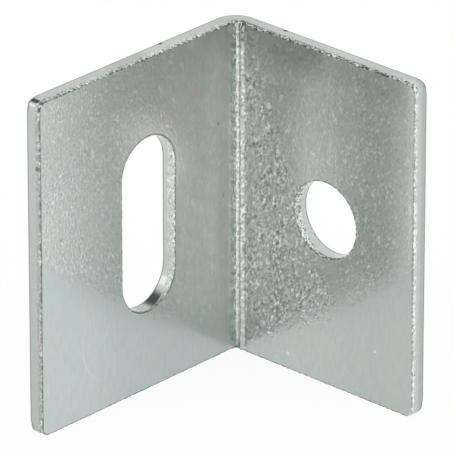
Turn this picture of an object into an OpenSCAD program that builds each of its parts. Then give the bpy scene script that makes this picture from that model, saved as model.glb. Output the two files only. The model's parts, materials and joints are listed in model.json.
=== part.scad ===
// Corner brace bracket: one piece of zinc-plated sheet steel, sheared to a rectangle, punched
// with a slot and a round hole, and folded once to a right angle. It stands on the lower cut
// edges of its two legs. Millimetres, +Z up along the fold, origin under the middle of the
// footprint. The leg with the round hole runs along +X, and the slotted leg along -Y.

/* [Sheet] */
// Thickness of the sheet
sheet_t = 2; // [1.5:0.1:3]
// Height of the bracket, along the fold
height = 40; // [32:1:80]
// Radius of the four free corners, in the plane of the leg
corner_r = 1; // [0.7:0.1:3]
// Radius that shearing and punching leave round every edge of the back
edge_r = 0.3; // [0.1:0.05:0.6]

/* [Fold] */
// Inside radius of the fold
fold_r = 0.8; // [0.3:0.1:2]

/* [Slotted leg] */
// Length of the leg, from the back of the other leg
slot_leg = 33; // [26:0.5:60]
// Width of the slot
slot_w = 8.4; // [5:0.1:12]
// Length of the slot, over its round ends
slot_len = 21; // [14:0.5:26]
// Distance of the slot's middle from the back of the other leg
slot_at = 16; // [12:0.5:18]

/* [Leg with the round hole] */
// Length of the leg, from the back of the other leg
hole_leg = 28.5; // [24:0.5:60]
// Diameter of the round hole
hole_d = 9; // [4:0.1:12]
// Distance of the hole's middle from the back of the other leg
hole_at = 15.5; // [12:0.5:16]

/* [Hidden] */
$fn = 96;
fold_back_r = fold_r + sheet_t;
mid_z = height / 2;
cut_over = 1;
zinc = [0.70, 0.73, 0.72];

// The section across the fold, with its back corner at [0, 0]
module fold_section() {
    translate([0, -slot_leg])
        square([sheet_t, slot_leg - fold_back_r]);
    translate([fold_back_r, -sheet_t])
        square([hole_leg - fold_back_r, sheet_t]);
    translate([fold_back_r, -fold_back_r])
        intersection() {
            difference() {
                circle(r = fold_back_r);
                circle(r = fold_r);
            }
            translate([-fold_back_r, 0])
                square(fold_back_r);
        }
}

// What rounding takes off a square corner at [0, 0] whose metal is at -X and -Y
module edge_waste() {
    difference() {
        translate([-edge_r, -edge_r])
            square(edge_r + cut_over);
        translate([-edge_r, -edge_r])
            circle(r = edge_r);
    }
}

// The waste of an outer edge that turns a quarter circle of the given radius, about +Z
module outer_turn(radius) {
    rotate_extrude(angle = 90)
        translate([radius, 0])
            edge_waste();
}

// The waste of the rim of a hole of the given radius, over the given angle about +Z
module rim(radius, angle = 360) {
    rotate_extrude(angle = angle)
        translate([radius, 0])
            mirror([1, 0])
                edge_waste();
}

// Turns a shape drawn on the XY plane, with its back at z = 0, to stand with its back on y = 0
module stand() {
    rotate([90, 0, 0])
        mirror([0, 0, 1])
            children();
}

// What shearing takes off the lower free corner of a leg of the given length, which lies
// along +X with its back on y = 0: the corner itself, and the rounding of its back edge
module lower_corner(leg) {
    translate([leg - corner_r, 0, corner_r])
        stand() {
            translate([0, -corner_r - cut_over, -sheet_t - cut_over])
                difference() {
                    cube([corner_r + cut_over, corner_r + cut_over, sheet_t + 2 * cut_over]);
                    translate([0, corner_r + cut_over, -cut_over])
                        cylinder(r = corner_r, h = sheet_t + 4 * cut_over);
                }
            rotate([0, 0, -90])
                outer_turn(corner_r);
        }
}

// The rounding of the back's lower edge on a leg, from the fold to the corner's radius
module lower_edge(leg) {
    translate([fold_back_r, 0, 0])
        rotate([0, 90, 0])
            linear_extrude(leg - corner_r - fold_back_r)
                edge_waste();
}

// The rounding of the back's upright edge at a leg's free end
module end_edge(leg) {
    translate([leg, 0, corner_r])
        linear_extrude(height - 2 * corner_r)
            edge_waste();
}

// Repeats a shape and mirrors it about the middle of the height
module low_and_high() {
    children();
    translate([0, 0, height])
        mirror([0, 0, 1])
            children();
}

// All that shearing takes off the free edges of one leg
module sheared_off(leg) {
    end_edge(leg);
    low_and_high() {
        lower_corner(leg);
        lower_edge(leg);
    }
}

// The rounding of the back's lower edge round the fold
module fold_edge() {
    translate([fold_back_r, -fold_back_r, 0])
        mirror([0, 0, 1])
            rotate([0, 0, 90])
                outer_turn(fold_back_r);
}

// The punch of the round hole, with the rounding that it leaves on the back
module round_punch() {
    translate([hole_at, 0, mid_z])
        stand() {
            translate([0, 0, -sheet_t - cut_over])
                cylinder(d = hole_d, h = sheet_t + 2 * cut_over);
            rim(hole_d / 2);
        }
}

// The punch of the slot: two round ends and the straight part between them, with the rounding
// that it leaves on the back
module slot_punch() {
    end_gap = slot_len - slot_w;
    translate([slot_at, 0, mid_z])
        stand()
            for (turn = [0, 180])
                rotate([0, 0, turn]) {
                    translate([0, end_gap / 2, -sheet_t - cut_over])
                        cylinder(d = slot_w, h = sheet_t + 2 * cut_over);
                    translate([-slot_w / 2, -end_gap / 2, -sheet_t - cut_over])
                        cube([slot_w, end_gap, sheet_t + 2 * cut_over]);
                    translate([0, end_gap / 2, 0])
                        rim(slot_w / 2, 180);
                    translate([slot_w / 2, end_gap / 2, 0])
                        rotate([90, 0, 0])
                            linear_extrude(end_gap)
                                mirror([1, 0])
                                    edge_waste();
                }
}

// Takes a shape from the leg along +X to the slotted leg along -Y
module on_slotted_leg() {
    rotate([0, 0, -90])
        mirror([0, 1, 0])
            children();
}

module bracket() {
    color(zinc)
        translate([-hole_leg / 2, slot_leg / 2, 0])
            difference() {
                linear_extrude(height)
                    fold_section();
                low_and_high()
                    fold_edge();
                sheared_off(hole_leg);
                round_punch();
                on_slotted_leg() {
                    sheared_off(slot_leg);
                    slot_punch();
                }
            }
}

bracket();
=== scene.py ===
import json
import math

import bmesh
import bpy
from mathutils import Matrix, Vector, noise


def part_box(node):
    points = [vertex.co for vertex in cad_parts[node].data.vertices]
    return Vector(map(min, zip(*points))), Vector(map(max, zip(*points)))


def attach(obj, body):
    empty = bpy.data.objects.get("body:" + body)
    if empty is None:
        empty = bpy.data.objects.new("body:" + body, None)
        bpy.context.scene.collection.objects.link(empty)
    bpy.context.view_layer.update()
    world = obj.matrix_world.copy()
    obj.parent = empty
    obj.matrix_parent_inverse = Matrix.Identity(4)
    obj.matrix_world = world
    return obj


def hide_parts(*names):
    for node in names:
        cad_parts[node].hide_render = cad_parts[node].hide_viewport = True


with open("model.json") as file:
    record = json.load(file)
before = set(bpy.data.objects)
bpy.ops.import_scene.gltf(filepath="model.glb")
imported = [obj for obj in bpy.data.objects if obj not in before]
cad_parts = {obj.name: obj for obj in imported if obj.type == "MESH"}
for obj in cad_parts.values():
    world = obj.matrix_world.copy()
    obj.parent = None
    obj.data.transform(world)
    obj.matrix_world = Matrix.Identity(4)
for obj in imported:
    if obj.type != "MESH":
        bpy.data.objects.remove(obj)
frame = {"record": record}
print("frame loaded")

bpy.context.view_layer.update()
mounts = {mount["name"]: mount for mount in frame["record"]["mounts"]}
scene = bpy.context.scene
mm = 0.001


def addNode(tree, kind, settings=None, **inputs):
    # An input is given by its number, as in0, or by its name with the spaces taken out
    item = tree.nodes.new(kind)
    for name, value in (settings or {}).items():
        setattr(item, name, value)
    for name, value in inputs.items():
        if name.startswith("in") and name[2:].isdigit():
            socket = item.inputs[int(name[2:])]
        else:
            socket = next(one for one in item.inputs if one.name.replace(" ", "") == name and one.enabled)
        if isinstance(value, bpy.types.NodeSocket):
            tree.links.new(value, socket)
        else:
            socket.default_value = value
    return item


def sums(tree, operation, first, second=0.0, third=0.0):
    item = addNode(tree, "ShaderNodeMath", {"operation": operation}, in0=first, in1=second, in2=third)
    return item.outputs["Value"]


def times(tree, first, *others):
    for other in others:
        first = sums(tree, "MULTIPLY", first, other)
    return first


def weighted(tree, total, *parts):
    # Adds each part, times its weight, to the total
    for part, weight in parts:
        total = sums(tree, "MULTIPLY_ADD", part, weight, total)
    return total


def darkened(tree, level, lost):
    return times(tree, level, sums(tree, "SUBTRACT", 1.0, lost))


def brightened(tree, level, gained):
    return times(tree, level, sums(tree, "ADD", gained, 1.0))


def spread(tree, value, low, high, toLow=0.0, toHigh=1.0, smooth=True):
    kind = "SMOOTHSTEP" if smooth else "LINEAR"
    item = addNode(tree, "ShaderNodeMapRange", {"interpolation_type": kind}, in0=value, in1=low, in2=high,
                   in3=toLow, in4=toHigh)
    return item.outputs["Result"]


def between(tree, value, rise, fall):
    # Rises from 0 to 1 over the first stretch and falls back to 0 over the second
    return times(tree, spread(tree, value, *rise), spread(tree, value, *fall, 1, 0))


def blended(tree, share, first, second):
    return addNode(tree, "ShaderNodeMix", in0=share, in2=first, in3=second).outputs[0]


def mixed(tree, share, first, second, kind="MIX"):
    # As blended, but of two colours
    item = addNode(tree, "ShaderNodeMix", {"data_type": "RGBA", "blend_type": kind}, in0=share, in6=first,
                   in7=second)
    return item.outputs[2]


def vectorSums(tree, operation, first, second=(0, 0, 0)):
    item = addNode(tree, "ShaderNodeVectorMath", {"operation": operation}, in0=first, in1=second)
    return item.outputs["Value" if operation in ("DOT_PRODUCT", "DISTANCE", "LENGTH") else "Vector"]


def scaled(tree, color, level):
    item = addNode(tree, "ShaderNodeVectorMath", {"operation": "SCALE"}, in0=color, Scale=level)
    return item.outputs["Vector"]


def noiseOn(tree, place, stretch, scale, detail, rough=0.5):
    moved = addNode(tree, "ShaderNodeMapping", Vector=place, Scale=stretch).outputs["Vector"]
    item = addNode(tree, "ShaderNodeTexNoise", Vector=moved, Scale=scale, Detail=detail, Roughness=rough)
    return item.outputs["Fac"]


# The camera's place is in metres, its angles are in degrees and its lens is in millimetres
camera = {
    "aim": (-0.01318, 0.01415, 0.01473),
    "azimuth": 42.87,  # from -Y towards +X
    "elevation": 24.94,
    "distance": 0.822,
    "lens": 584.5,
    "clip": (0.05, 20),
}


def makeCamera():
    azimuth = math.radians(camera["azimuth"])
    elevation = math.radians(camera["elevation"])
    away = Vector((math.sin(azimuth) * math.cos(elevation),
                   -math.cos(azimuth) * math.cos(elevation),
                   math.sin(elevation)))
    data = bpy.data.cameras.new("photoCamera")
    data.lens = camera["lens"]
    data.clip_start, data.clip_end = camera["clip"]
    seen = bpy.data.objects.new("photoCamera", data)
    seen.location = Vector(camera["aim"]) + away * camera["distance"]
    seen.rotation_mode = "QUATERNION"
    seen.rotation_quaternion = (-away).to_track_quat("-Z", "Y")
    scene.collection.objects.link(seen)
    scene.camera = seen


# Lengths and places in metres
studio = {
    "floorSize": 6.0,
    "floorColor": (0.95, 0.97, 0.98, 1),
    "floorWhite": 0.92,  # share of plain white in the floor, as the camera sees it
    "floorShine": 0.60,  # the same share, as the metal sees it
    # Darker parts of the room, which only the metal sees: direction, where each is darkest and where it
    # ends, in degrees, and how dark it is
    "darkParts": [
        ((-0.617, 0.07, 0.783), 11.0, 31.0, 0.88),
        ((0.68, -0.73, 0.30), 18.0, 50.0, 0.70),
    ],
    "boxPlace": (-0.42, -0.42, 0.25),
    "boxAim": (0, 0, 0.02),
    "boxSize": 0.26,
    "boxPower": 0.11,
}


def makeSky():
    world = bpy.data.worlds.new("studioSky")
    world.use_nodes = True
    scene.world = world
    tree = world.node_tree
    tree.nodes.clear()
    place = addNode(tree, "ShaderNodeTexCoord").outputs["Generated"]
    light = 1.0
    for direction, inner, outer, shade in studio["darkParts"]:
        toward = vectorSums(tree, "DOT_PRODUCT", place, Vector(direction).normalized())
        edges = [math.cos(math.radians(angle)) for angle in (outer, inner)]
        light = times(tree, spread(tree, toward, *edges, 1, 1 - shade), light)
    white = (1, 1, 1, 1)
    room = addNode(tree, "ShaderNodeBackground", Color=white, Strength=light)
    plain = addNode(tree, "ShaderNodeBackground", Color=white)
    path = addNode(tree, "ShaderNodeLightPath")
    pick = addNode(tree, "ShaderNodeMixShader", in0=path.outputs["Is Glossy Ray"], in1=plain.outputs[0],
                   in2=room.outputs[0])
    addNode(tree, "ShaderNodeOutputWorld", Surface=pick.outputs[0])


def makeSoftbox():
    data = bpy.data.lights.new("softbox", "AREA")
    data.shape = "SQUARE"
    data.size = studio["boxSize"]
    data.energy = studio["boxPower"]
    lamp = bpy.data.objects.new("softbox", data)
    lamp.location = studio["boxPlace"]
    lamp.rotation_mode = "QUATERNION"
    lamp.rotation_quaternion = (Vector(studio["boxAim"]) - lamp.location).to_track_quat("-Z", "Y")
    scene.collection.objects.link(lamp)


def makeFloor():
    bm = bmesh.new()
    bmesh.ops.create_grid(bm, x_segments=1, y_segments=1, size=studio["floorSize"] / 2)
    mesh = bpy.data.meshes.new("floor")
    bm.to_mesh(mesh)
    bm.free()
    floor = bpy.data.objects.new("floor", mesh)
    scene.collection.objects.link(floor)
    material = bpy.data.materials.new("paleFloor")
    material.use_nodes = True
    tree = material.node_tree
    tree.nodes.clear()
    paper = addNode(tree, "ShaderNodeBsdfDiffuse", Color=studio["floorColor"])
    glow = addNode(tree, "ShaderNodeEmission", Strength=1)
    path = addNode(tree, "ShaderNodeLightPath").outputs
    share = weighted(tree, 0.0, (path["Is Camera Ray"], studio["floorWhite"]),
                     (path["Is Glossy Ray"], studio["floorShine"]))
    mix = addNode(tree, "ShaderNodeMixShader", in0=share, in1=paper.outputs[0], in2=glow.outputs[0])
    addNode(tree, "ShaderNodeOutputMaterial", Surface=mix.outputs[0])
    mesh.materials.append(material)


print("making the camera and the studio")
scene.view_settings.view_transform = "Standard"
makeCamera()
makeSky()
makeSoftbox()
makeFloor()

# All lengths of the sheet are in millimetres, measured on the flat blank before it is folded
sheet = {
    "thickness": 2.0,
    "foldRadius": 0.8,
    "foldSteps": 16,
    "cornerRadius": 1.0,
    "cornerSteps": 6,  # the fewest steps round a corner
    "pointStep": 0.14,  # spacing of the points along every cut edge
    "weld": 1e-4,  # points of an outline that are closer than this become one
    "snap": 1e-5,  # points this close to a plane that cuts the sheet count as on it
    "backRadius": 0.3,
    "backSteps": 5,
    # How much more the back is rounded at the lower and upper free corners, and how far past the
    # corner's own radius that fades out
    "cornerRoll": (0.8, 0.5),
    "rollFade": 1.0,
    # Rings of points near the inside arris of a cut: how far into the metal, depth and how rough
    "faceRings": [(0.30, 0.0, 0.0), (0.16, 0.0, 0.0)],
    "arrisRings": [(0.08, -0.01, 0.5), (0.03, 0.0, 1.0), (0.0, 0.07, 1.0), (0.0, 0.20, 0.8),
                   (0.0, 0.34, 0.8)],
    # How rough the torn part is halfway down, at the start of its last stretch, at its end and past it
    "tornRough": (0.8, 0.4, 0.12, 0.0),
    "tornFade": 0.1,  # length of that last stretch
    "beforeBack": 0.04,  # how far the last ring of the sheared part stays short of the rounded back
    "backMargin": 0.05,  # how far the first ring on the back lies inside its rounding
    # How deep the torn part of a cut reaches from the inside: at the two ends of the blank, or
    # halfway up an opening and at its lower and upper ends
    "tornOutline": (0.62, 0.5),
    "tornSlot": (1.15, 0.3),
    "tornHole": (0.95, 0.35),
    "tornPower": 4,  # how late that change comes towards an opening's ends
    "tearSize": 0.34,  # size of the irregularities along the torn part
    "fineTear": 0.45,  # size of the finer ones, as a share of that
    "tearStretch": 1.5,  # how much smaller both are through the sheet
    "tearLevel": (0.35, 0.6),  # their mean, and how far each of the two sizes varies it
    "tearBite": 0.10,
    "topBite": 0.9,  # how much deeper the tears are along the upper edge
    "openingTop": 0.4,  # the share of that in the openings
    "openingBite": 0.3,  # how much of the tears is left at the arris of an opening
    "arrisDepth": 0.1,  # how deep that arris reaches
    # Chips in the upper edge, on the inside of the fold: distance along the blank, half width and depth
    "chips": [(1.5, 0.28, 0.75), (0.75, 0.35, 0.35), (-0.3, 0.2, 0.25), (-3.3, 0.5, 0.14),
              (3.6, 0.5, 0.16)],
    "chipReach": 0.4,  # how far they reach through the sheet
    "burr": 0.05,
    "burrDepth": 0.01,  # the rings down to this depth stand up as a burr
}

# Shifts that give the finer irregularities and the burrs patterns of their own
fineShift = Vector((7.3, 1.9, 4.4))
burrShift = Vector((3, 5, 9))

nodeLow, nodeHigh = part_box("bracket")
slotLeg = (nodeHigh.y - nodeLow.y) / mm
holeLeg = (nodeHigh.x - nodeLow.x) / mm
height = (nodeHigh.z - nodeLow.z) / mm
foldBack = sheet["foldRadius"] + sheet["thickness"]
halfFold = math.radians(45) * (sheet["foldRadius"] + sheet["thickness"] / 2)
slotEnd = halfFold + slotLeg - foldBack  # where the blank ends, on the slotted side
holeEnd = halfFold + holeLeg - foldBack


def blankShapes():
    # The blank and its two openings laid out flat
    slot = mounts["slot"]
    hole = mounts["round_hole"]
    slotAt = (nodeHigh.y - slot["pos_m"][1]) / mm - foldBack + halfFold
    holeAt = (hole["pos_m"][0] - nodeLow.x) / mm - foldBack + halfFold
    slotRadius = slot["dims"]["r_mm"]
    holeRadius = hole["dims"]["r_mm"]
    return [
        {"middle": Vector(((holeEnd - slotEnd) / 2, height / 2)), "size": (holeEnd + slotEnd, height),
         "radius": sheet["cornerRadius"], "opening": False, "torn": sheet["tornOutline"],
         "roll": sheet["cornerRoll"]},
        {"middle": Vector((-slotAt, slot["pos_m"][2] / mm)),
         "size": (2 * slotRadius, slot["dims"]["slot_length_mm"]),
         "radius": slotRadius, "opening": True, "torn": sheet["tornSlot"], "roll": (0, 0)},
        {"middle": Vector((holeAt, hole["pos_m"][2] / mm)), "size": (2 * holeRadius, 2 * holeRadius),
         "radius": holeRadius, "opening": True, "torn": sheet["tornHole"], "roll": (0, 0)},
    ]


faceSlot, tornSlot, cutSlot, rolledSlot = range(4)  # order of the bracket's materials


def cutProfile(deep, radius):
    # Each ring: how far into the metal, depth from the inside face, how rough, and the material
    back = sheet["thickness"] - radius
    fade = sheet["tornFade"]
    rings = [(*ring, faceSlot) for ring in sheet["faceRings"]]
    rings += [(*ring, tornSlot) for ring in sheet["arrisRings"]]
    halfway, late, end, past = sheet["tornRough"]
    rings += [
        (0.0, (rings[-1][1] + deep) / 2, halfway, tornSlot),
        (0.0, deep - fade, late, tornSlot),
        (0.0, deep, end, tornSlot),
        (0.0, deep + fade, past, cutSlot),
        (0.0, back - sheet["beforeBack"], 0.0, cutSlot),
    ]
    for step in range(sheet["backSteps"] + 1):
        turn = math.radians(90 * step / sheet["backSteps"])
        rings.append((radius * (1 - math.cos(turn)), back + radius * math.sin(turn), 0.0, rolledSlot))
    rings.append((radius + sheet["backMargin"], sheet["thickness"], 0.0, faceSlot))
    return rings


def profileAt(shape, point):
    # The cut's profile at a point of its outline
    half = Vector(shape["size"]) / 2
    local = point - shape["middle"]
    if shape["opening"]:
        share = min(1, abs(local.y) / half.y) ** sheet["tornPower"]
    else:
        share = (local.x / half.x + 1) / 2
    deep = shape["torn"][0] + (shape["torn"][1] - shape["torn"][0]) * share
    past = min(abs(local.x) - half.x, abs(local.y) - half.y) + shape["radius"]
    atCorner = max(0, min(1, 1 + past / sheet["rollFade"]))
    return cutProfile(deep, sheet["backRadius"] * (1 + shape["roll"][local.y > 0] * atCorner ** 2))


def intoMetal(shape, point):
    # Direction from the cut edge into the metal, at a point of the blank's plane
    reach = Vector((shape["size"][0] / 2 - shape["radius"], shape["size"][1] / 2 - shape["radius"]))
    local = point - shape["middle"]
    core = Vector((max(-reach.x, min(reach.x, local.x)), max(-reach.y, min(reach.y, local.y))))
    return (local - core).normalized() * (1 if shape["opening"] else -1)


def makeOutline(bm, shape):
    # A rectangle with its corners rounded, down to a full circle, with evenly spaced points
    step = sheet["pointStep"]
    oldEdges = set(bm.edges)
    corners = bmesh.ops.create_grid(bm, x_segments=1, y_segments=1, size=0.5)["verts"]
    bmesh.ops.scale(bm, verts=corners, vec=(*shape["size"], 1))
    bmesh.ops.translate(bm, verts=corners, vec=(*shape["middle"], 0))
    arcSteps = max(sheet["cornerSteps"], round(math.radians(90) * shape["radius"] / step))
    bmesh.ops.bevel(bm, geom=corners, offset=shape["radius"], offset_type="OFFSET", segments=arcSteps,
                    profile=0.5, affect="VERTICES", clamp_overlap=False, material=-1)
    new = [edge for edge in bm.edges if edge not in oldEdges]
    doubled = {vert for edge in new for vert in edge.verts}
    bmesh.ops.remove_doubles(bm, verts=list(doubled), dist=sheet["weld"])
    for edge in [edge for edge in bm.edges if edge not in oldEdges]:
        extra = round(edge.calc_length() / step) - 1
        if extra > 0:
            bmesh.ops.subdivide_edges(bm, edges=[edge], cuts=extra)
    new = [edge for edge in bm.edges if edge not in oldEdges]
    faces = {face for edge in new for face in edge.link_faces}
    bmesh.ops.delete(bm, geom=list(faces), context="FACES_ONLY")
    return new


def tear(place):
    # Irregularity of the torn part of a cut, from 0 up to about 1
    mean, swing = sheet["tearLevel"]
    coarse = noise.noise(place / sheet["tearSize"])
    fine = noise.noise(place / (sheet["tearSize"] * sheet["fineTear"]) + fineShift)
    return max(0, mean + swing * coarse + swing * fine)


def biteAndBurr(shape, home, into, depth, rough):
    # How far the metal is torn away at a point of a cut edge, and how far its burr stands up
    place = Vector((home.x, home.y, depth * sheet["tearStretch"]))
    atTop = max(0, -into.y)
    topShare = sheet["openingTop"] if shape["opening"] else atTop
    bite = rough * sheet["tearBite"] * (1 + sheet["topBite"] * topShare) * tear(place)
    if shape["opening"]:
        if depth < sheet["arrisDepth"]:
            bite *= sheet["openingBite"]
    else:
        for along, half, chip in sheet["chips"]:
            fade = max(0, 1 - depth / sheet["chipReach"])
            bite += atTop * chip * fade * math.exp(-((home.x - along) / half) ** 2)
    if depth > sheet["burrDepth"]:
        return bite, 0
    return bite, rough * sheet["burr"] * tear(place + burrShift)


def carryThrough(bm, edges, shape, homeLayer):
    # Carries a cut edge from the inside face to the back, and gives its first and last rings
    for edge in edges:
        for vert in edge.verts:
            vert[homeLayer] = vert.co
    profiles = {tuple(vert.co.xy): profileAt(shape, vert.co.xy) for edge in edges for vert in edge.verts}
    slots = [ring[3] for ring in next(iter(profiles.values()))]
    first = edges
    for index, slot in enumerate(slots):
        if index:
            made = bmesh.ops.extrude_edge_only(bm, edges=edges)["geom"]
            ring = {item for item in made if isinstance(item, bmesh.types.BMVert)}
            edges = [item for item in made
                     if isinstance(item, bmesh.types.BMEdge) and ring.issuperset(item.verts)]
            for item in made:
                if isinstance(item, bmesh.types.BMFace):
                    item.material_index = slot
        else:
            ring = {vert for edge in edges for vert in edge.verts}
        for vert in ring:
            home = vert[homeLayer]
            inset, depth, rough, _ = profiles[tuple(home.xy)][index]
            into = intoMetal(shape, home.xy)
            bite, burr = biteAndBurr(shape, home, into, depth, rough)
            flat = home.xy + into * (inset + bite)
            vert.co = (flat.x, flat.y, depth - burr)
    return first, edges


# What the bending punch leaves in the fold, in millimetres
punchMarks = {
    # Section of the grooves. Each point is given from the line where the two inside faces would meet:
    # towards the hole's leg, towards the back of the slot's leg, and how uneven the metal is there
    "section": [(0.0, -0.8, 0.0), (0.0, 0.16, 0.006), (0.23, 0.33, 0.014), (0.88, -0.12, 0.04),
                (1.36, 0.12, 0.07), (1.76, 0.0, 0.04), (1.95, 0.0, 0.0)],
    "step": 0.12,  # spacing of the points along the section
    "rows": 0.3,  # spacing of the rows of points up the fold
    "topRows": 5,  # how many more there are halfway between the uppermost ones
    "fade": (1.2, 3.5, 0.4),  # lengths over which they fade at the foot and at the top, and what is left
    "grit": (0.3, 0.4),  # size of the unevenness along the blank and up it
    "gritShift": 2.2,  # gives it a pattern of its own
    "reach": 0.5,  # how deep in the sheet the grooves and the beads are still felt
    # Beads pressed out at the top of the fold: distance along the blank, height, radius and thickness
    "beads": [(1.55, 39.5, 0.36, 0.22), (0.35, 39.75, 0.3, 0.12)],
    "beadShape": 0.8,  # their width over their height
}


def markPlaces():
    # The grooves as distances along the blank, each with how far the metal stands up and how uneven it is
    radius = sheet["foldRadius"]
    section = [Vector(point) for point in punchMarks["section"]]
    points = []
    for here, there in zip(section, section[1:]):
        steps = max(1, round((there - here).length / punchMarks["step"]))
        points += [here.lerp(there, step / steps) for step in range(steps)]
    places = []
    for x, y, uneven in points + section[-1:]:
        if x >= radius:
            places.append((halfFold + x - radius, -y, uneven))
        else:
            turn = math.atan2(y + radius, radius - x)
            lift = radius - math.hypot(x - radius, y + radius)
            places.append((halfFold * (4 * turn / math.pi - 1), lift, uneven))
    return places


def standUp(places, along):
    for (here, lift, uneven), (there, nextLift, nextUneven) in zip(places, places[1:]):
        if here <= along <= there:
            share = (along - here) / (there - here)
            return lift + (nextLift - lift) * share, uneven + (nextUneven - uneven) * share
    return 0.0, 0.0


def punched(places, along, up, depth):
    # Depth of a point of the blank after the punch has left its grooves and beads
    reach = punchMarks["reach"]
    if depth >= reach or not places[0][0] < along < places[-1][0]:
        return depth
    lift, uneven = standUp(places, along)
    foot, top, left = punchMarks["fade"]
    inside = 1 - depth / reach
    inside *= left + (1 - left) * max(0, min(1, up / foot, (height - up) / top))
    alongGrit, upGrit = punchMarks["grit"]
    grit = noise.noise(Vector((along / alongGrit, up / upGrit, punchMarks["gritShift"])))
    depth -= inside * (lift + uneven * grit)
    for bead, high, size, thick in punchMarks["beads"]:
        away = math.hypot(along - bead, (up - high) * punchMarks["beadShape"]) / size
        depth -= thick * max(0, 1 - away ** 2) * max(0, 1 - max(0, depth) / reach)
    return depth


def foldPoint(point, places):
    # Takes a point of the flat blank to its place on the folded bracket, in metres
    along, up, depth = point
    depth = punched(places, along, up, depth)
    if along >= halfFold:
        x, y = foldBack + along - halfFold, depth - sheet["thickness"]
    elif along <= -halfFold:
        x, y = sheet["thickness"] - depth, -foldBack + along + halfFold
    else:
        radius = sheet["foldRadius"] + depth
        turn = math.radians(90 + 45 * (1 - along / halfFold))
        x, y = foldBack + radius * math.cos(turn), -foldBack + radius * math.sin(turn)
    return Vector((nodeLow.x + x * mm, nodeHigh.y + y * mm, nodeLow.z + up * mm))


def cutAcross(bm, geom, place, direction):
    bmesh.ops.bisect_plane(bm, geom=geom, dist=sheet["snap"], plane_co=place, plane_no=direction)


def makeBracket():
    bm = bmesh.new()
    homeLayer = bm.verts.layers.float_vector.new("home")
    inside, back = [], []
    for shape in blankShapes():
        first, last = carryThrough(bm, makeOutline(bm, shape), shape, homeLayer)
        inside += first
        back += last
    print("cut edges:", len(bm.verts), "points")
    for edges, normal in ((inside, (0, 0, -1)), (back, (0, 0, 1))):
        bmesh.ops.triangle_fill(bm, use_beauty=True, use_dissolve=False, edges=edges, normal=normal)
    places = markPlaces()
    bends = [halfFold * (2 * step / sheet["foldSteps"] - 1) for step in range(sheet["foldSteps"] + 1)]
    for along in sorted(set(bends + [place[0] for place in places])):
        cutAcross(bm, bm.verts[:] + bm.edges[:] + bm.faces[:], (along, 0, 0), (1, 0, 0))
    # Rows of points that let the grooves be uneven, on the inside face only
    spacing = punchMarks["rows"]
    rows = round(height / spacing)
    levels = [row * height / rows for row in range(1, rows)]
    levels += [height - spacing * (row + 0.5) for row in range(punchMarks["topRows"])]
    for level in levels:
        marked = []
        for face in bm.faces:
            middle = face.calc_center_median()
            if (face.material_index == faceSlot and middle.z < sheet["arrisDepth"]
                    and places[0][0] < middle.x < places[-1][0]):
                marked.append(face)
        near = {item for face in marked for item in (*face.verts, *face.edges)}
        cutAcross(bm, list(near) + marked, (0, level, 0), (0, 1, 0))
    bm.verts.layers.float_vector.remove(homeLayer)
    blankLayer = bm.verts.layers.float_vector.new("blank")
    for vert in bm.verts:
        vert[blankLayer] = vert.co
        vert.co = foldPoint(vert.co, places)
    bmesh.ops.recalc_face_normals(bm, faces=bm.faces[:])
    if bm.calc_volume(signed=True) < 0:  # the faces all point inwards
        bmesh.ops.reverse_faces(bm, faces=bm.faces[:])
    for face in bm.faces:
        face.smooth = True
    loose = [edge for edge in bm.edges if not edge.is_manifold]
    print("bracket:", len(bm.faces), "faces,", len(loose), "open edges")
    mesh = bpy.data.meshes.new("bracketSheet")
    bm.to_mesh(mesh)
    bm.free()
    piece = bpy.data.objects.new("bracketSheet", mesh)
    scene.collection.objects.link(piece)
    return piece


def newGroup(name, inputs, outputs):
    group = bpy.data.node_groups.new(name, "ShaderNodeTree")
    for label, kind, value in inputs:
        socket = group.interface.new_socket(name=label, in_out="INPUT", socket_type=kind)
        if value is not None:
            socket.default_value = value
    for label, kind in outputs:
        group.interface.new_socket(name=label, in_out="OUTPUT", socket_type=kind)
    return group, addNode(group, "NodeGroupInput").outputs, addNode(group, "NodeGroupOutput").inputs


def useGroup(tree, group, **inputs):
    return addNode(tree, "ShaderNodeGroup", {"node_tree": group}, **inputs).outputs


# Tone and grain of the zinc. A noise is given by its stretch, scale, detail and roughness, and one of
# the grain has no scale, because the grain's size sets it
zinc = {
    "clouds": ((1, 0.45, 1), 0.35, 3),
    "cloudRange": (0.35, 0.65),
    "bluish": (0.975, 1.0, 1.01, 1),
    "warmish": (1.015, 0.995, 0.99, 1),
    "lines": ((1, 0.25, 1), 2.6, 2),
    "bumps": ((0.95, 0.85, 0.95), 2, 0.6),
    # Scatters of specks: where in the noise each is taken, its noise, and how it is spread
    "scatters": {
        "Fine": ((0, 0, 0), ((1.05, 0.95, 1.05), 2, 0.6), (0.25, 0.75, -1, 1)),
        "Coarse": ((0, 0, 0), ((0.6, 0.42, 0.6), 3, 0.7), (0.3, 0.7, -1, 1)),
        "Glint": ((31, 17, 5), ((0.85, 0.62, 0.85), 0, 0.5), (0.60, 0.80, 0, 1)),
    },
    # Patches in which the specks are weaker or stronger
    "patches": ((1, 0.7, 1), 0.5, 2),
    "patchRange": (0.38, 0.62, 0.6, 1.25),
}


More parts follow.
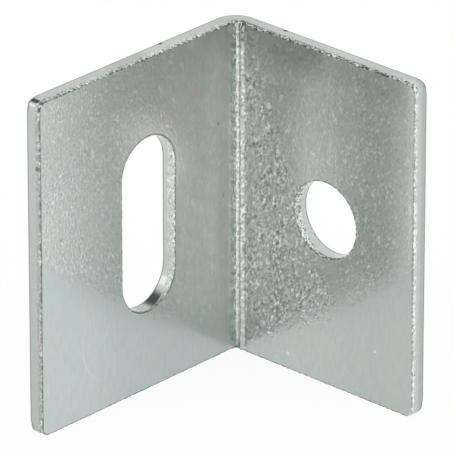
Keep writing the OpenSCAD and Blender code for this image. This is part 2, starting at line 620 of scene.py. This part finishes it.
def makeZincTone():
    # Faint bluish and warm clouds, and fine lines along the rolling direction
    group, given, out = newGroup(
        "zincTone",
        [("Place", "NodeSocketVector", None), ("Base", "NodeSocketColor", (0.6, 0.6, 0.6, 1)),
         ("Clouds", "NodeSocketFloat", 0.5), ("Lines", "NodeSocketFloat", 0.1)],
        [("Color", "NodeSocketColor"), ("Line", "NodeSocketFloat")])
    cloud = spread(group, noiseOn(group, given["Place"], *zinc["clouds"]), *zinc["cloudRange"])
    tint = mixed(group, cloud, zinc["bluish"], zinc["warmish"])
    tinted = mixed(group, given["Clouds"], given["Base"], tint, "MULTIPLY")
    line = noiseOn(group, given["Place"], *zinc["lines"])
    lighter = weighted(group, 1.0, (sums(group, "SUBTRACT", line, 0.5), given["Lines"]))
    group.links.new(scaled(group, tinted, lighter), out["Color"])
    group.links.new(line, out["Line"])
    return group


def makeZincGrain():
    # A height, scatters of fine and coarse specks about 0, and glints from 0 up
    group, given, out = newGroup(
        "zincGrain",
        [("Place", "NodeSocketVector", None), ("Size", "NodeSocketFloat", 0.2)],
        [(label, "NodeSocketFloat") for label in ("Height", "Fine", "Coarse", "Glint")])
    scale = sums(group, "DIVIDE", 1.0, given["Size"])
    stretch, detail, rough = zinc["bumps"]
    group.links.new(noiseOn(group, given["Place"], stretch, scale, detail, rough), out["Height"])
    patchy = spread(group, noiseOn(group, given["Place"], *zinc["patches"]), *zinc["patchRange"])
    for label, (shift, (stretch, detail, rough), ends) in zinc["scatters"].items():
        moved = vectorSums(group, "ADD", given["Place"], shift)
        found = noiseOn(group, moved, stretch, scale, detail, rough)
        group.links.new(times(group, spread(group, found, *ends), patchy), out[label])
    return group


def startSteel(name, rough):
    # A metal material, and the place on the flat blank that its patterns follow
    material = bpy.data.materials.new(name)
    material.use_nodes = True
    tree = material.node_tree
    shader = tree.nodes["Principled BSDF"]
    shader.inputs["Metallic"].default_value = 1
    shader.inputs["Roughness"].default_value = rough
    place = addNode(tree, "ShaderNodeAttribute", {"attribute_name": "blank"}).outputs["Vector"]
    axes = addNode(tree, "ShaderNodeSeparateXYZ", Vector=place).outputs
    return material, tree, shader, (place, axes["X"], axes["Y"], axes["Z"])


def curve(tree, value, stops):
    # A smooth curve through the given stops: distance along the blank, and the value there
    low, high, top = stops[0][0], stops[-1][0], max(level for where, level in stops)
    item = addNode(tree, "ShaderNodeValToRGB", Fac=spread(tree, value, low, high, smooth=False))
    item.color_ramp.interpolation = "EASE"
    points = item.color_ramp.elements
    while len(points) < len(stops):
        points.new(0.5)
    for point, (where, level) in zip(points, stops):
        point.position = (where - low) / (high - low)
        point.color = [level / top] * 3 + [1]
    return times(tree, item.outputs["Color"], top)


def addRelief(tree, shader, relief, deep):
    # Etches the relief into the metal, as deep as given in metres
    bump = addNode(tree, "ShaderNodeBump", {"invert": True}, Strength=1.0, Distance=deep, Height=relief)
    tree.links.new(bump.outputs["Normal"], shader.inputs["Normal"])


# The plating of both faces. All places are on the flat blank, in millimetres. A place along it is
# negative on the slot's leg, and a height is from the foot. A range is where a change starts and ends,
# and two more values with it are the levels there. A pair of ranges is where something comes and goes
plating = {
    "rough": (0.24, 0.42),  # over most of it, and in the matt stretch beside the fold
    "mattAlong": ((-4.5, -2.6), (-1.75, -1.4)),
    "relief": 0.00003,  # in metres
    "clouds": 1.0,
    # The line that rises from the fold's foot towards the free ends, and parts the smooth plating below
    # from the rest: its slope, how soft it is, its noise, and how far that makes it wander on each leg
    "lineSlope": 0.66,
    "lineBlend": (-2.5, 4.0),
    "lineNoise": ((1, 1, 1), 0.8, 4, 0.65),
    "lineWander": (0, 2, 0.8, 7.0),
    # The back: at which depths it takes over, how bright it is, how far it counts as above the line,
    # and how speckled it is
    "backDepth": (0.5, 1.5),
    "backLevel": 0.81,
    "backAbove": 0.6,
    "backSpecks": 0.2,
    # Colours below and above the line. The ranges say where each passes into the next one along the
    # blank: below it slot's leg and hole's leg, above it the slotted end, beside the slot, the fold and
    # the end of the hole's leg
    "colorsLow": [(0.637, 0.70, 0.689, 1), (0.643, 0.70, 0.672, 1)],
    "changesLow": [(-3, 8)],
    "colorsHigh": [(0.652, 0.687, 0.664, 1), (0.672, 0.687, 0.652, 1), (0.656, 0.687, 0.652, 1),
                   (0.667, 0.687, 0.636, 1)],
    "changesHigh": [(-21, -15), (-8, -3), (5, 15)],
    # A warmer tint on the slot's leg, from halfway up
    "warm": (1.03, 1.0, 1.01, 1),
    "warmUp": ((15, 20), (32, 36)),
    "warmAlong": ((-28.5, -26.5), (-4, -2)),
    # Painted light and shade: how bright the plating is along the blank, below and above the line. Above
    # it, the rise from -1.95 to 0.62 is a painted highlight along the fold and the dip at 0.95 a painted
    # dark line
    "levelLow": [(-31.5, 0.97), (-25, 0.97), (-18, 0.89), (-12, 0.865), (-6, 0.86), (0, 0.9), (9, 0.93),
                 (14, 0.90), (18.5, 0.85), (22, 0.83), (27, 0.82)],
    "levelHigh": [(-31.5, 1.04), (-27.5, 1.04), (-23, 1.03), (-20, 0.98), (-14, 0.92), (-10, 1.0),
                  (-8, 1.01), (-6, 1.0), (-4, 1.01), (-3, 1.06), (-1.95, 1.05), (-1.6, 1.20), (-1.2, 1.28),
                  (-0.6, 1.22), (0.3, 1.11), (0.62, 1.12), (0.95, 0.65), (1.3, 1.06), (1.7, 1.04),
                  (2.1, 0.91), (2.85, 0.84), (3.3, 0.94), (5, 0.945), (6.5, 0.895), (9, 0.915),
                  (11.8, 0.94), (14.5, 0.86), (17, 0.80), (20.6, 0.70), (23, 0.69), (25, 0.80), (27, 0.98)],
    # Painted shade, as what is lost of that along the blank from a range of heights up: near the upper
    # edge, right beside it, and over the upper half
    "losses": [
        ((height - 15, height - 5),
         [(-31.5, 0.08), (-20, 0.08), (-12, 0.05), (-8, 0.03), (-5, 0.06), (0, 0.08), (2, 0.12), (8, 0.14),
          (12, 0.19), (18, 0.14), (24, 0.10), (27, 0.10)]),
        ((height - 4.8, height - 1.8),
         [(-12, 0.0), (-8, 0.04), (-4, 0.10), (-1, 0.10), (2, 0.19), (12, 0.24), (14, 0.11), (22, 0.12),
          (25, 0.16), (27, 0.0)]),
        ((13, 25),
         [(0, 0.0), (2.6, 0.02), (5, 0.14), (7.5, 0.19), (9.6, 0.19), (12, 0.14), (15, 0.03), (20, 0.03),
          (27, 0.0)]),
    ],
    # Painted shade darkens the arris at the foot
    "footLevel": (0.08, 0.2, 0.72, 1),  # the arris at the foot is darker
    "grainSize": 0.34,
    "grainLean": 0.32,  # how fast the grain rises towards the free ends
    # The rough part widens downwards from the top of the fold: how fast, how soft its border is, and
    # what is left of the specks past it
    "roughPart": (0.45, 3.5, 0.27),
    "fineSpecks": [(-31.5, 0.30), (-22, 0.30), (-14, 0.26), (-9, 0.06), (-1.0, 0.02), (-0.4, 0.8),
                   (7.5, 0.95), (11, 0.85), (16, 1.0), (20, 1.5), (27, 0.85)],
    "coarseSpecks": [(-31.5, 0.15), (-22, 0.15), (-12, 0.12), (-8, 0.05), (-1.0, 0.03), (-0.4, 0.9),
                     (7.0, 1.05), (11, 0.85), (16, 0.8), (20, 1.15), (27, 0.35)],
    "speckLevels": (0.40, 0.34),  # of the fine and the coarse ones
    # The glints are painted highlights in the plating's colour
    "glintLevels": (0.08, 0.6),  # of the glints everywhere, and what the coarse specks' amount adds
    # The specks are weaker below the line, and towards the foot
    "specksByLine": (0, 0.5, 0.08, 1),
    "specksByHeight": (1, 10, 0.7, 1),
    # Relief of the grain everywhere, what the coarse specks' amount adds to it, and the relief of the
    # glints and of the rolling lines
    "reliefLevels": (0.4, 1.3, 1.3, 0.12),
    "reliefByLine": (0.1, 0.6, 0.12, 1),  # of all but the lines
    "rollingLines": (0, 1, 0.14, 0.22),  # how strongly they show below and above the line
    # Nicks, dents and streaks: distance along the blank, height, half width, half height and how bright.
    # The dark spots round the top of the fold and the bright spot among them are painted shade and a
    # painted highlight round the beads, and the two long streaks beside the fold a painted dark line and a
    # painted highlight
    "marks": [(-3.35, 28.4, 0.26, 0.3, -0.42), (-2.6, 19.4, 0.3, 0.5, -0.3),
              (-28.46, 22.7, 0.3, 0.3, -0.35), (21.6, 6.4, 0.28, 0.28, 0.4), (8.6, 1.9, 0.35, 0.35, 0.3),
              (-12.4, 35.3, 0.16, 1.6, 0.2), (14.72, 28.7, 0.16, 3.2, 0.18), (1.05, 39.4, 0.2, 0.35, -0.5),
              (2.15, 39.35, 0.25, 0.4, -0.5), (1.6, 38.85, 0.3, 0.2, -0.5), (-1.9, 39.8, 0.6, 0.22, -0.5),
              (-0.4, 39.6, 0.3, 0.3, -0.4), (3.4, 39.7, 0.5, 0.3, -0.4), (1.8, 39.0, 0.12, 0.15, 0.5),
              (-3.04, 19, 0.14, 18, -0.07), (-1.64, 19, 0.14, 18, 0.10)],
    "markCore": 0.2,  # share of a mark that has its full strength
    # A fine scratch on the slot's leg, part of a circle: its middle, radius, half width, how bright it
    # is, and where it ends along the blank and upwards
    "scratch": ((-19.5, 8.5, 0), 5.68, 0.22, 0.07),
    "scratchEnds": ((-23.6, -22.2), (9.5, 11.5)),
}


def aboveLine(tree, place, along, up, fromFold):
    # 0 below the line that rises from the fold's foot, 1 above it
    wander = sums(tree, "SUBTRACT", noiseOn(tree, place, *plating["lineNoise"]), 0.5)
    wander = times(tree, wander, spread(tree, along, *plating["lineWander"]))
    line = sums(tree, "ADD", weighted(tree, up, (fromFold, -plating["lineSlope"])), wander)
    return spread(tree, line, *plating["lineBlend"])


def paintedLightLevel(tree, along, up, above, onBack):
    # How bright the plating is, before its specks and marks: its painted light and shade, and the
    # painted shade bands
    low, high = curve(tree, along, plating["levelLow"]), curve(tree, along, plating["levelHigh"])
    level = blended(tree, above, low, high)
    for heights, stops in plating["losses"]:
        level = darkened(tree, level, times(tree, spread(tree, up, *heights), curve(tree, along, stops)))
    return blended(tree, onBack, level, plating["backLevel"])


def speckAmounts(tree, along, up, onBack):
    # How strong the fine and the coarse specks are
    slant, border, left = plating["roughPart"]
    past = weighted(tree, along, (up, slant))
    within = spread(tree, past, height * slant, height * slant + border, 1, left)
    amounts = []
    for stops in ("fineSpecks", "coarseSpecks"):
        amount = times(tree, curve(tree, along, plating[stops]), within)
        amounts.append(blended(tree, onBack, amount, plating["backSpecks"]))
    return amounts


def addMarks(tree, place, along, up, specks):
    # Adds the nicks, dents and streaks, with the painted shade and highlights among them, and the scratch
    for markAlong, markUp, wide, tall, change in plating["marks"]:
        offset = vectorSums(tree, "SUBTRACT", place, (markAlong, markUp, 0))
        offset = vectorSums(tree, "MULTIPLY", offset, (1 / wide, 1 / tall, 0))
        mark = spread(tree, vectorSums(tree, "LENGTH", offset), plating["markCore"], 1, change, 0)
        specks = sums(tree, "ADD", specks, mark)
    middle, radius, wide, change = plating["scratch"]
    flat = vectorSums(tree, "MULTIPLY", place, (1, 1, 0))
    away = sums(tree, "SUBTRACT", vectorSums(tree, "DISTANCE", flat, middle), radius)
    drawn = spread(tree, sums(tree, "ABSOLUTE", away), 0, wide, change, 0)
    for value, ends in zip((along, up), plating["scratchEnds"]):
        drawn = times(tree, drawn, spread(tree, value, *ends, 1, 0))
    return sums(tree, "ADD", specks, drawn)


def colorAlong(tree, along, colors, changes):
    color = colors[0]
    for following, change in zip(colors[1:], changes):
        color = mixed(tree, spread(tree, along, *change), color, following)
    return color


def makeSheetFace(zincTone, zincGrain):
    usual, mattRough = plating["rough"]
    material, tree, shader, (place, along, up, depth) = startSteel("sheetFace", usual)
    fromFold = sums(tree, "ABSOLUTE", along)
    onBack = spread(tree, depth, *plating["backDepth"])
    above = blended(tree, onBack, aboveLine(tree, place, along, up, fromFold), plating["backAbove"])

    # The specks and painted glints, and with them how bright each place is, with its painted light and
    # shade
    leaning = addNode(tree, "ShaderNodeCombineXYZ", X=along, Z=depth,
                      Y=weighted(tree, up, (fromFold, -plating["grainLean"]))).outputs["Vector"]
    grain = useGroup(tree, zincGrain, Place=leaning, Size=plating["grainSize"])
    fineAmount, coarseAmount = speckAmounts(tree, along, up, onBack)
    fine, coarse = times(tree, grain["Fine"], fineAmount), times(tree, grain["Coarse"], coarseAmount)
    # Painted highlights: glints that brighten the colour
    everywhere, added = plating["glintLevels"]
    paintedGlints = times(tree, grain["Glint"], weighted(tree, everywhere, (coarseAmount, added)))
    specks = weighted(tree, paintedGlints, *zip((fine, coarse), plating["speckLevels"]))
    specks = times(tree, specks, spread(tree, above, *plating["specksByLine"]),
                   spread(tree, up, *plating["specksByHeight"]))
    level = paintedLightLevel(tree, along, up, above, onBack)
    level = brightened(tree, level, addMarks(tree, place, along, up, specks))
    level = times(tree, level, spread(tree, up, *plating["footLevel"]))

    # The colour
    low = colorAlong(tree, along, plating["colorsLow"], plating["changesLow"])
    high = colorAlong(tree, along, plating["colorsHigh"], plating["changesHigh"])
    warm = times(tree, between(tree, up, *plating["warmUp"]), between(tree, along, *plating["warmAlong"]))
    color = mixed(tree, warm, mixed(tree, above, low, high), plating["warm"], "MULTIPLY")
    tone = useGroup(tree, zincTone, Place=place, Base=scaled(tree, color, level), Clouds=plating["clouds"],
                    Lines=spread(tree, above, *plating["rollingLines"]))
    tree.links.new(tone["Color"], shader.inputs["Base Color"])

    # The relief of the grain, and how rough the metal is
    everywhere, added, ofGlints, ofLines = plating["reliefLevels"]
    relief = times(tree, grain["Height"], weighted(tree, everywhere, (coarseAmount, added)))
    relief = weighted(tree, relief, (grain["Glint"], times(tree, coarseAmount, ofGlints)))
    relief = times(tree, relief, spread(tree, above, *plating["reliefByLine"]))
    addRelief(tree, shader, weighted(tree, relief, (tone["Line"], ofLines)), plating["relief"])
    matt = between(tree, along, *plating["mattAlong"])
    tree.links.new(spread(tree, matt, 0, 1, usual, mattRough), shader.inputs["Roughness"])
    return material


# The cut edges, with places and ranges as for the plating
cuts = {
    # Each kind of cut: its colour seen straight on and at a slant, roughness, relief in metres, how
    # mottled it is, how dark the painted shade in its pits is, and its painted light and shade along the
    # blank
    "tornCut": {
        "color": (0.56, 0.585, 0.556, 1), "slantColor": (1, 1, 1, 1), "rough": 0.3, "relief": 0.00006,
        "mottled": 0.25, "pits": 0.38,
        "levels": [(-31.5, 0.86), (-29, 0.92), (-22, 1.0), (-18.8, 0.94), (-15.2, 0.92), (-13.4, 1.18),
                   (-10.4, 1.18), (0, 1.0), (9, 1.1), (13, 1.12), (20, 1.0), (27, 1.12)],
    },
    "shearedCut": {
        "color": (0.522, 0.552, 0.532, 1), "slantColor": (1, 1, 1, 1), "rough": 0.16, "relief": 0.00001,
        "mottled": 0.04, "pits": 0,
        "levels": [(-31.5, 1.0), (-29, 0.98), (-18.8, 0.94), (-15.2, 0.92), (-13.4, 1.14), (-10.4, 1.10),
                   (0, 1.0), (9, 1.08), (13, 1.08), (20, 0.98), (26, 0.92), (27, 0.88)],
    },
    # Painted shade: the rolled back edge is dark straight on and at a slant, drawing a dark outline
    "rolledEdge": {
        "color": (0.38, 0.41, 0.40, 1), "slantColor": (0.38, 0.41, 0.40, 1), "rough": 0.28,
        "relief": 0.00002, "mottled": 0.1, "pits": 0, "levels": None,
    },
    "clouds": 0.8,
    "lines": 0.05,
    "grainSize": 0.2,
    "coarseShare": 0.8,  # of the coarse specks in the mottling
    "top": (height - 1.2, height - 0.6),  # the upper edge
    "topHole": (-1, 3),  # where the hole's leg starts on it
    "holeAlong": ((4, 8), (22, 26)),
    "holeUp": ((4, 8), (height - 8, height - 4)),
    # How much stronger the mottling is in the hole, on top of the hole's leg, and on all of the top
    "mottledMore": (2.09, 1.1, 0.7),
    # The slot's leg is a little darker towards the foot
    "footUp": (4, height - 6, 0.07, 0),
    "footAlong": (0, 12, 1, 0),
    # The end of the hole's leg is paler towards the inside
    "paleAlong": (22, 27, 0, 0.24),
    "paleDepth": (0.7, 1.4, 1, 0),
    # The upper edge is duller between the two openings
    "dull": 0.08,
    "dullAlong": ((-21, -17), (12, 16)),
    # Painted shade in the pits along the arris of the inside face: over which specks and depths it
    # comes, how much deeper it reaches on top of the hole's leg, and how dark it is everywhere and more
    # at the top
    "pitSpecks": (-0.3, 0.25, 1, 0),
    "pitDepth": (0.06, 0.32, 1, 0),
    "pitDeeper": 0.55,
    "pitLevels": (0.85, 0.45),
    # Painted glints between the pits, given the same way
    "brightSpecks": (0.2, 0.7),
    "brightDepth": (0.1, 0.5, 1, 0),
    "brightLevels": (0.45, 0.4),
    # Painted shade darkens the arris at the foot and at the inside face
    "arrisUp": (0.06, 0.16, 0.66, 1),
    "arrisDepth": (0.01, 0.06, 0.66, 1),
    # Dark nicks: distance along the blank, height, depth, size and how dark
    "nicks": [(-10.96, 40, 1.75, 0.44, 0.85), (6.66, 40, 1.75, 0.44, 0.85), (-31.6, 32.2, 0.4, 0.4, 0.45)],
}


def paintedEdgeShadeAndGlints(tree, up, depth, level, coarse, atTop, topHole, pits):
    # Adds the painted shade of the pits, the painted glints between them and the painted shade along
    # the arris of a torn cut
    pitDepth = times(tree, depth, weighted(tree, 1.0, (topHole, -cuts["pitDeeper"])))
    base, more = cuts["pitLevels"]
    # Painted shade in the pits
    dark = times(tree, spread(tree, coarse, *cuts["pitSpecks"]),
                 spread(tree, pitDepth, *cuts["pitDepth"]),
                 weighted(tree, base, (sums(tree, "ADD", atTop, topHole), more)))
    level = times(tree, level, weighted(tree, 1.0, (dark, -pits)))
    # Painted glints between the pits
    base, more = cuts["brightLevels"]
    paintedEdgeGlints = times(tree, spread(tree, coarse, *cuts["brightSpecks"]),
                   spread(tree, depth, *cuts["brightDepth"]),
                   weighted(tree, base, (atTop, more)))
    level = brightened(tree, level, paintedEdgeGlints)
    # Painted shade along the arris at the foot and at the inside face
    return times(tree, level, spread(tree, up, *cuts["arrisUp"]), spread(tree, depth, *cuts["arrisDepth"]))


def makeCut(name, zincTone, zincGrain):
    look = cuts[name]
    material, tree, shader, (place, along, up, depth) = startSteel(name, look["rough"])
    tone = useGroup(tree, zincTone, Place=place, Base=look["color"], Clouds=cuts["clouds"],
                    Lines=cuts["lines"])
    grain = useGroup(tree, zincGrain, Place=place, Size=cuts["grainSize"])
    atTop = spread(tree, up, *cuts["top"])
    topHole = times(tree, atTop, spread(tree, along, *cuts["topHole"]))
    inHole = times(tree, between(tree, up, *cuts["holeUp"]), between(tree, along, *cuts["holeAlong"]))
    mottle = weighted(tree, grain["Fine"], (grain["Coarse"], cuts["coarseShare"]))
    mottle = times(tree, mottle, weighted(tree, 1.0, *zip((inHole, topHole, atTop), cuts["mottledMore"])))
    level = weighted(tree, 1.0, (mottle, look["mottled"]))
    foot = times(tree, spread(tree, up, *cuts["footUp"]), spread(tree, along, *cuts["footAlong"]))
    level = darkened(tree, level, foot)
    pale = times(tree, spread(tree, along, *cuts["paleAlong"]), spread(tree, depth, *cuts["paleDepth"]))
    level = brightened(tree, level, pale)
    # Painted light and shade along the blank
    if look["levels"]:
        level = times(tree, level, curve(tree, along, look["levels"]))
        dull = times(tree, atTop, between(tree, along, *cuts["dullAlong"]), cuts["dull"])
        level = darkened(tree, level, dull)
    if look["pits"]:
        level = paintedEdgeShadeAndGlints(tree, up, depth, level, grain["Coarse"], atTop, topHole, look["pits"])
    for nickAlong, nickUp, nickDepth, size, dark in cuts["nicks"]:
        away = vectorSums(tree, "DISTANCE", place, (nickAlong, nickUp, nickDepth))
        level = times(tree, level, spread(tree, away, size / 2, size, 1 - dark, 1))
    addRelief(tree, shader, grain["Height"], look["relief"])
    tree.links.new(scaled(tree, tone["Color"], level), shader.inputs["Base Color"])
    shader.inputs["Specular Tint"].default_value = look["slantColor"]
    return material


print("making the bracket")
bracket = makeBracket()
print("plating the bracket")
zincTone, zincGrain = makeZincTone(), makeZincGrain()
bracket.data.materials.append(makeSheetFace(zincTone, zincGrain))
for name in ("tornCut", "shearedCut", "rolledEdge"):
    bracket.data.materials.append(makeCut(name, zincTone, zincGrain))
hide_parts("bracket")
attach(bracket, "root")
